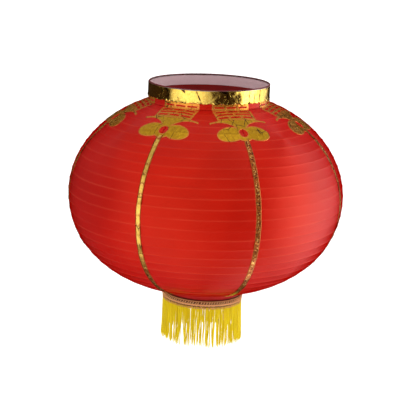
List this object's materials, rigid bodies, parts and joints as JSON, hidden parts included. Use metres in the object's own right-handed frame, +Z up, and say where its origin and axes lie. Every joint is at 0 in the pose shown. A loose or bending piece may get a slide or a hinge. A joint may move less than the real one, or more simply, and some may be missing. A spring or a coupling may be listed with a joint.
{
  "type": "satin lantern",
  "caption": "Round folding hanging lantern: satin gores over wire hoops, gold foil collar and seam bands, wire expander and a fringed foot ring.",
  "frame": {"origin": "inside of the top of the expander's hanging eye, where the hanging string bears, on the lantern's axis", "axes": "+Z up along the lantern's axis, -Y towards the middle of gore 1, +X to the right seen from -Y; the expander's frame lies in the XZ plane"},
  "size_m": [0.42, 0.4203, 0.4015],
  "materials": {
    "red_satin": "red polyester satin, silky sheen",
    "gold_foil": "crinkled metallised gold film on a cloth back",
    "steel_wire": "drawn wire, dull",
    "expander_wire": "galvanised wire",
    "band_board": "stiff strip",
    "pale_lining": "plain weave lining, pale pinkish grey",
    "dark_binding": "dark folded binding",
    "gimp_thread": "gimp braid, pinkish gold on dark red",
    "yellow_thread": "twisted yellow rayon thread"
  },
  "bodies": {
    "collar": {"collar_band": "band_board", "collar_liner": "pale_lining", "top_hem_tape": "red_satin", "collar_hem": "red_satin", "collar_foil_wrap": "gold_foil", "rim_wire": "steel_wire", "collar_base_wire": "steel_wire", "rim_binding": "dark_binding", "gore_1": "red_satin", "gore_2": "red_satin", "gore_3": "red_satin", "gore_4": "red_satin", "gore_5": "red_satin", "gore_6": "red_satin", "gore_7": "red_satin", "foil_band_1": "gold_foil", "foil_band_2": "gold_foil", "foil_band_3": "gold_foil", "foil_band_4": "gold_foil", "foil_band_5": "gold_foil", "foil_band_6": "gold_foil", "foil_band_7": "gold_foil"},
    "foot": {"foot_band": "band_board", "foot_cover": "red_satin", "fringe_heading": "yellow_thread", "foot_ring_wire": "steel_wire", "gimp_braid": "gimp_thread", "fringe_skirt": "yellow_thread", "foot_crossbar": "steel_wire"},
    "expander": {"expander": "expander_wire"},
    "hoop_01": {"hoop_01": "steel_wire"},
    "hoop_02": {"hoop_02": "steel_wire"},
    "hoop_03": {"hoop_03": "steel_wire"},
    "hoop_04": {"hoop_04": "steel_wire"},
    "hoop_05": {"hoop_05": "steel_wire"},
    "hoop_06": {"hoop_06": "steel_wire"},
    "hoop_07": {"hoop_07": "steel_wire"},
    "hoop_08": {"hoop_08": "steel_wire"},
    "hoop_09": {"hoop_09": "steel_wire"},
    "hoop_10": {"hoop_10": "steel_wire"},
    "hoop_11": {"hoop_11": "steel_wire"},
    "hoop_12": {"hoop_12": "steel_wire"},
    "hoop_13": {"hoop_13": "steel_wire"},
    "hoop_14": {"hoop_14": "steel_wire"},
    "hoop_15": {"hoop_15": "steel_wire"},
    "hoop_16": {"hoop_16": "steel_wire"},
    "hoop_17": {"hoop_17": "steel_wire"},
    "hoop_18": {"hoop_18": "steel_wire"},
    "hoop_19": {"hoop_19": "steel_wire"},
    "hoop_20": {"hoop_20": "steel_wire"},
    "hoop_21": {"hoop_21": "steel_wire"},
    "hoop_22": {"hoop_22": "steel_wire"},
    "hoop_23": {"hoop_23": "steel_wire"},
    "hoop_24": {"hoop_24": "steel_wire"},
    "hoop_25": {"hoop_25": "steel_wire"},
    "hoop_26": {"hoop_26": "steel_wire"},
    "hoop_27": {"hoop_27": "steel_wire"},
    "hoop_28": {"hoop_28": "steel_wire"}
  },
  "joints": [
    {"name": "fold", "type": "slide", "parent": "collar", "child": "foot", "axis": [0, 0, 1], "range_m": [0, 0.23081], "deforming": ["gore_1", "gore_2", "gore_3", "gore_4", "gore_5", "gore_6", "gore_7", "foil_band_1", "foil_band_2", "foil_band_3", "foil_band_4", "foil_band_5", "foil_band_6", "foil_band_7"]},
    {"name": "expander_lift", "type": "slide", "parent": "foot", "child": "expander", "axis": [0, 0, 1], "range_m": [0, 0.34]},
    {"name": "hoop_01_slide", "type": "slide", "parent": "collar", "child": "hoop_01", "axis": [0, 0, 1], "range_m": [0, 0.00608]},
    {"name": "hoop_02_slide", "type": "slide", "parent": "collar", "child": "hoop_02", "axis": [0, 0, 1], "range_m": [0, 0.01091]},
    {"name": "hoop_03_slide", "type": "slide", "parent": "collar", "child": "hoop_03", "axis": [0, 0, 1], "range_m": [0, 0.0165]},
    {"name": "hoop_04_slide", "type": "slide", "parent": "collar", "child": "hoop_04", "axis": [0, 0, 1], "range_m": [0, 0.02286]},
    {"name": "hoop_05_slide", "type": "slide", "parent": "collar", "child": "hoop_05", "axis": [0, 0, 1], "range_m": [0, 0.02997]},
    {"name": "hoop_06_slide", "type": "slide", "parent": "collar", "child": "hoop_06", "axis": [0, 0, 1], "range_m": [0, 0.03782]},
    {"name": "hoop_07_slide", "type": "slide", "parent": "collar", "child": "hoop_07", "axis": [0, 0, 1], "range_m": [0, 0.04646]},
    {"name": "hoop_08_slide", "type": "slide", "parent": "collar", "child": "hoop_08", "axis": [0, 0, 1], "range_m": [0, 0.05571]},
    {"name": "hoop_09_slide", "type": "slide", "parent": "collar", "child": "hoop_09", "axis": [0, 0, 1], "range_m": [0, 0.06565]},
    {"name": "hoop_10_slide", "type": "slide", "parent": "collar", "child": "hoop_10", "axis": [0, 0, 1], "range_m": [0, 0.07614]},
    {"name": "hoop_11_slide", "type": "slide", "parent": "collar", "child": "hoop_11", "axis": [0, 0, 1], "range_m": [0, 0.08713]},
    {"name": "hoop_12_slide", "type": "slide", "parent": "collar", "child": "hoop_12", "axis": [0, 0, 1], "range_m": [0, 0.09851]},
    {"name": "hoop_13_slide", "type": "slide", "parent": "collar", "child": "hoop_13", "axis": [0, 0, 1], "range_m": [0, 0.11012]},
    {"name": "hoop_14_slide", "type": "slide", "parent": "collar", "child": "hoop_14", "axis": [0, 0, 1], "range_m": [0, 0.12183]},
    {"name": "hoop_15_slide", "type": "slide", "parent": "collar", "child": "hoop_15", "axis": [0, 0, 1], "range_m": [0, 0.13342]},
    {"name": "hoop_16_slide", "type": "slide", "parent": "collar", "child": "hoop_16", "axis": [0, 0, 1], "range_m": [0, 0.14481]},
    {"name": "hoop_17_slide", "type": "slide", "parent": "collar", "child": "hoop_17", "axis": [0, 0, 1], "range_m": [0, 0.15586]},
    {"name": "hoop_18_slide", "type": "slide", "parent": "collar", "child": "hoop_18", "axis": [0, 0, 1], "range_m": [0, 0.1663]},
    {"name": "hoop_19_slide", "type": "slide", "parent": "collar", "child": "hoop_19", "axis": [0, 0, 1], "range_m": [0, 0.17616]},
    {"name": "hoop_20_slide", "type": "slide", "parent": "collar", "child": "hoop_20", "axis": [0, 0, 1], "range_m": [0, 0.18532]},
    {"name": "hoop_21_slide", "type": "slide", "parent": "collar", "child": "hoop_21", "axis": [0, 0, 1], "range_m": [0, 0.19362]},
    {"name": "hoop_22_slide", "type": "slide", "parent": "collar", "child": "hoop_22", "axis": [0, 0, 1], "range_m": [0, 0.20113]},
    {"name": "hoop_23_slide", "type": "slide", "parent": "collar", "child": "hoop_23", "axis": [0, 0, 1], "range_m": [0, 0.20777]},
    {"name": "hoop_24_slide", "type": "slide", "parent": "collar", "child": "hoop_24", "axis": [0, 0, 1], "range_m": [0, 0.21357]},
    {"name": "hoop_25_slide", "type": "slide", "parent": "collar", "child": "hoop_25", "axis": [0, 0, 1], "range_m": [0, 0.21851]},
    {"name": "hoop_26_slide", "type": "slide", "parent": "collar", "child": "hoop_26", "axis": [0, 0, 1], "range_m": [0, 0.22267]},
    {"name": "hoop_27_slide", "type": "slide", "parent": "collar", "child": "hoop_27", "axis": [0, 0, 1], "range_m": [0, 0.22608]},
    {"name": "hoop_28_slide", "type": "slide", "parent": "collar", "child": "hoop_28", "axis": [0, 0, 1], "range_m": [0, 0.22876]}
  ],
  "couplings": [
    {"joint": "hoop_01_slide", "follows": "fold", "ratio": 0.022},
    {"joint": "hoop_02_slide", "follows": "fold", "ratio": 0.04295},
    {"joint": "hoop_03_slide", "follows": "fold", "ratio": 0.06717},
    {"joint": "hoop_04_slide", "follows": "fold", "ratio": 0.09469},
    {"joint": "hoop_05_slide", "follows": "fold", "ratio": 0.1255},
    {"joint": "hoop_06_slide", "follows": "fold", "ratio": 0.15954},
    {"joint": "hoop_07_slide", "follows": "fold", "ratio": 0.19696},
    {"joint": "hoop_08_slide", "follows": "fold", "ratio": 0.23704},
    {"joint": "hoop_09_slide", "follows": "fold", "ratio": 0.2801},
    {"joint": "hoop_10_slide", "follows": "fold", "ratio": 0.32553},
    {"joint": "hoop_11_slide", "follows": "fold", "ratio": 0.37318},
    {"joint": "hoop_12_slide", "follows": "fold", "ratio": 0.42245},
    {"joint": "hoop_13_slide", "follows": "fold", "ratio": 0.47275},
    {"joint": "hoop_14_slide", "follows": "fold", "ratio": 0.52349},
    {"joint": "hoop_15_slide", "follows": "fold", "ratio": 0.57371},
    {"joint": "hoop_16_slide", "follows": "fold", "ratio": 0.62308},
    {"joint": "hoop_17_slide", "follows": "fold", "ratio": 0.67094},
    {"joint": "hoop_18_slide", "follows": "fold", "ratio": 0.71618},
    {"joint": "hoop_19_slide", "follows": "fold", "ratio": 0.75889},
    {"joint": "hoop_20_slide", "follows": "fold", "ratio": 0.79856},
    {"joint": "hoop_21_slide", "follows": "fold", "ratio": 0.83455},
    {"joint": "hoop_22_slide", "follows": "fold", "ratio": 0.86706},
    {"joint": "hoop_23_slide", "follows": "fold", "ratio": 0.89584},
    {"joint": "hoop_24_slide", "follows": "fold", "ratio": 0.92096},
    {"joint": "hoop_25_slide", "follows": "fold", "ratio": 0.94236},
    {"joint": "hoop_26_slide", "follows": "fold", "ratio": 0.96038},
    {"joint": "hoop_27_slide", "follows": "fold", "ratio": 0.97518},
    {"joint": "hoop_28_slide", "follows": "fold", "ratio": 0.98677}
  ]
}
